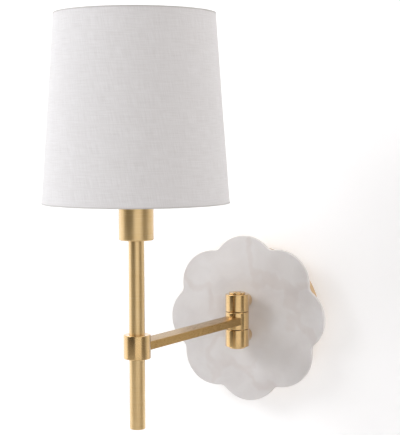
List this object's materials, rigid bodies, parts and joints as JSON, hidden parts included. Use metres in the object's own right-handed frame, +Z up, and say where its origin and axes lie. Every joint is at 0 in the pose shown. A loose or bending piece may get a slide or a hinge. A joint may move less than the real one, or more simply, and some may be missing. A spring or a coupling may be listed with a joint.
{
  "type": "swing arm wall sconce",
  "caption": "Swing arm wall sconce: scalloped stone plate, barrel hinge in brushed brass, flat arm, round stem and a tapered linen drum shade.",
  "frame": {"origin": "centre of the mounting strap's back face, on the wall", "axes": "+Y into the wall, so the lamp stands out towards -Y; +Z up; +X to the right of somebody who faces the wall"},
  "size_m": [0.2011, 0.3281, 0.4073],
  "materials": {
    "brushed_brass": "warm brushed brass, fine straight satin grain",
    "plain_brass": "plain machined brass, hidden hardware",
    "zinc_steel": "zinc plated steel",
    "green_screw": "green dyed ground screw",
    "green_insulation": "wire insulation",
    "black_insulation": "wire insulation",
    "white_insulation": "wire insulation",
    "orange_plastic": "wire connector",
    "felt": "pressed felt pad",
    "alabaster": "honed white alabaster, faint cloudy veins",
    "nylon": "nylon washer",
    "phenolic": "black moulded lampholder",
    "shell_aluminium": "rolled aluminium shell",
    "white_wire": "white powder coated wire ring",
    "styrene_lining": "stiff white lining",
    "linen": "fine white linen",
    "linen_tape": "white rim tape",
    "frosted_glass": "frosted bulb glass",
    "clear_glass": "glass mount inside the bulb",
    "solder": "tinned contact",
    "filament": "light emitting filaments"
  },
  "bodies": {
    "wall_plate": {"mounting_strap": "zinc_steel", "ground_screw": "green_screw", "ground_lead": "green_insulation", "canopy_pan": "brushed_brass", "side_screws": "plain_brass", "felt_pad": "felt", "stone_plate": "alabaster", "post_washers": "nylon", "post_upper": "brushed_brass", "post_lower": "brushed_brass", "shank_washers": "zinc_steel", "shank_nuts": "plain_brass", "barrel_upper": "brushed_brass", "barrel_lower": "brushed_brass", "hinge_pin": "plain_brass", "seam_washers": "nylon", "tension_washer": "zinc_steel", "stop_pin": "zinc_steel", "cap_top": "brushed_brass", "cap_bottom": "brushed_brass", "wall_lead_live": "black_insulation", "wall_lead_neutral": "white_insulation", "wire_connectors": "orange_plastic"},
    "swing_arm": {"barrel_middle": "brushed_brass", "arm_tube": "brushed_brass", "collar": "brushed_brass", "collar_screw": "plain_brass", "cross_nipple": "plain_brass", "arm_lead_live": "black_insulation", "arm_lead_neutral": "white_insulation", "stem_tube": "brushed_brass", "stem_foot": "brushed_brass", "stem_bush": "plain_brass", "head_nipple": "plain_brass", "socket_cup": "brushed_brass", "head_nut": "plain_brass", "lampholder": "phenolic", "screw_shell": "shell_aluminium", "centre_contact": "plain_brass", "shade_nut": "phenolic", "shade_fitter": "zinc_steel", "ring_bottom": "white_wire", "ring_top": "white_wire", "shade_lining": "styrene_lining", "shade_linen": "linen", "hem_bottom": "linen_tape", "hem_top": "linen_tape", "bulb_glass": "frosted_glass", "bulb_base": "shell_aluminium", "bulb_tip": "solder", "bulb_stem": "clear_glass", "bulb_filament": "filament"}
  },
  "joints": [
    {"name": "arm_swing", "type": "hinge", "parent": "wall_plate", "child": "swing_arm", "pos_m": [0, -0.0519, 0], "axis": [0, 0, 1], "range_deg": [-71.6, 84.4]}
  ]
}
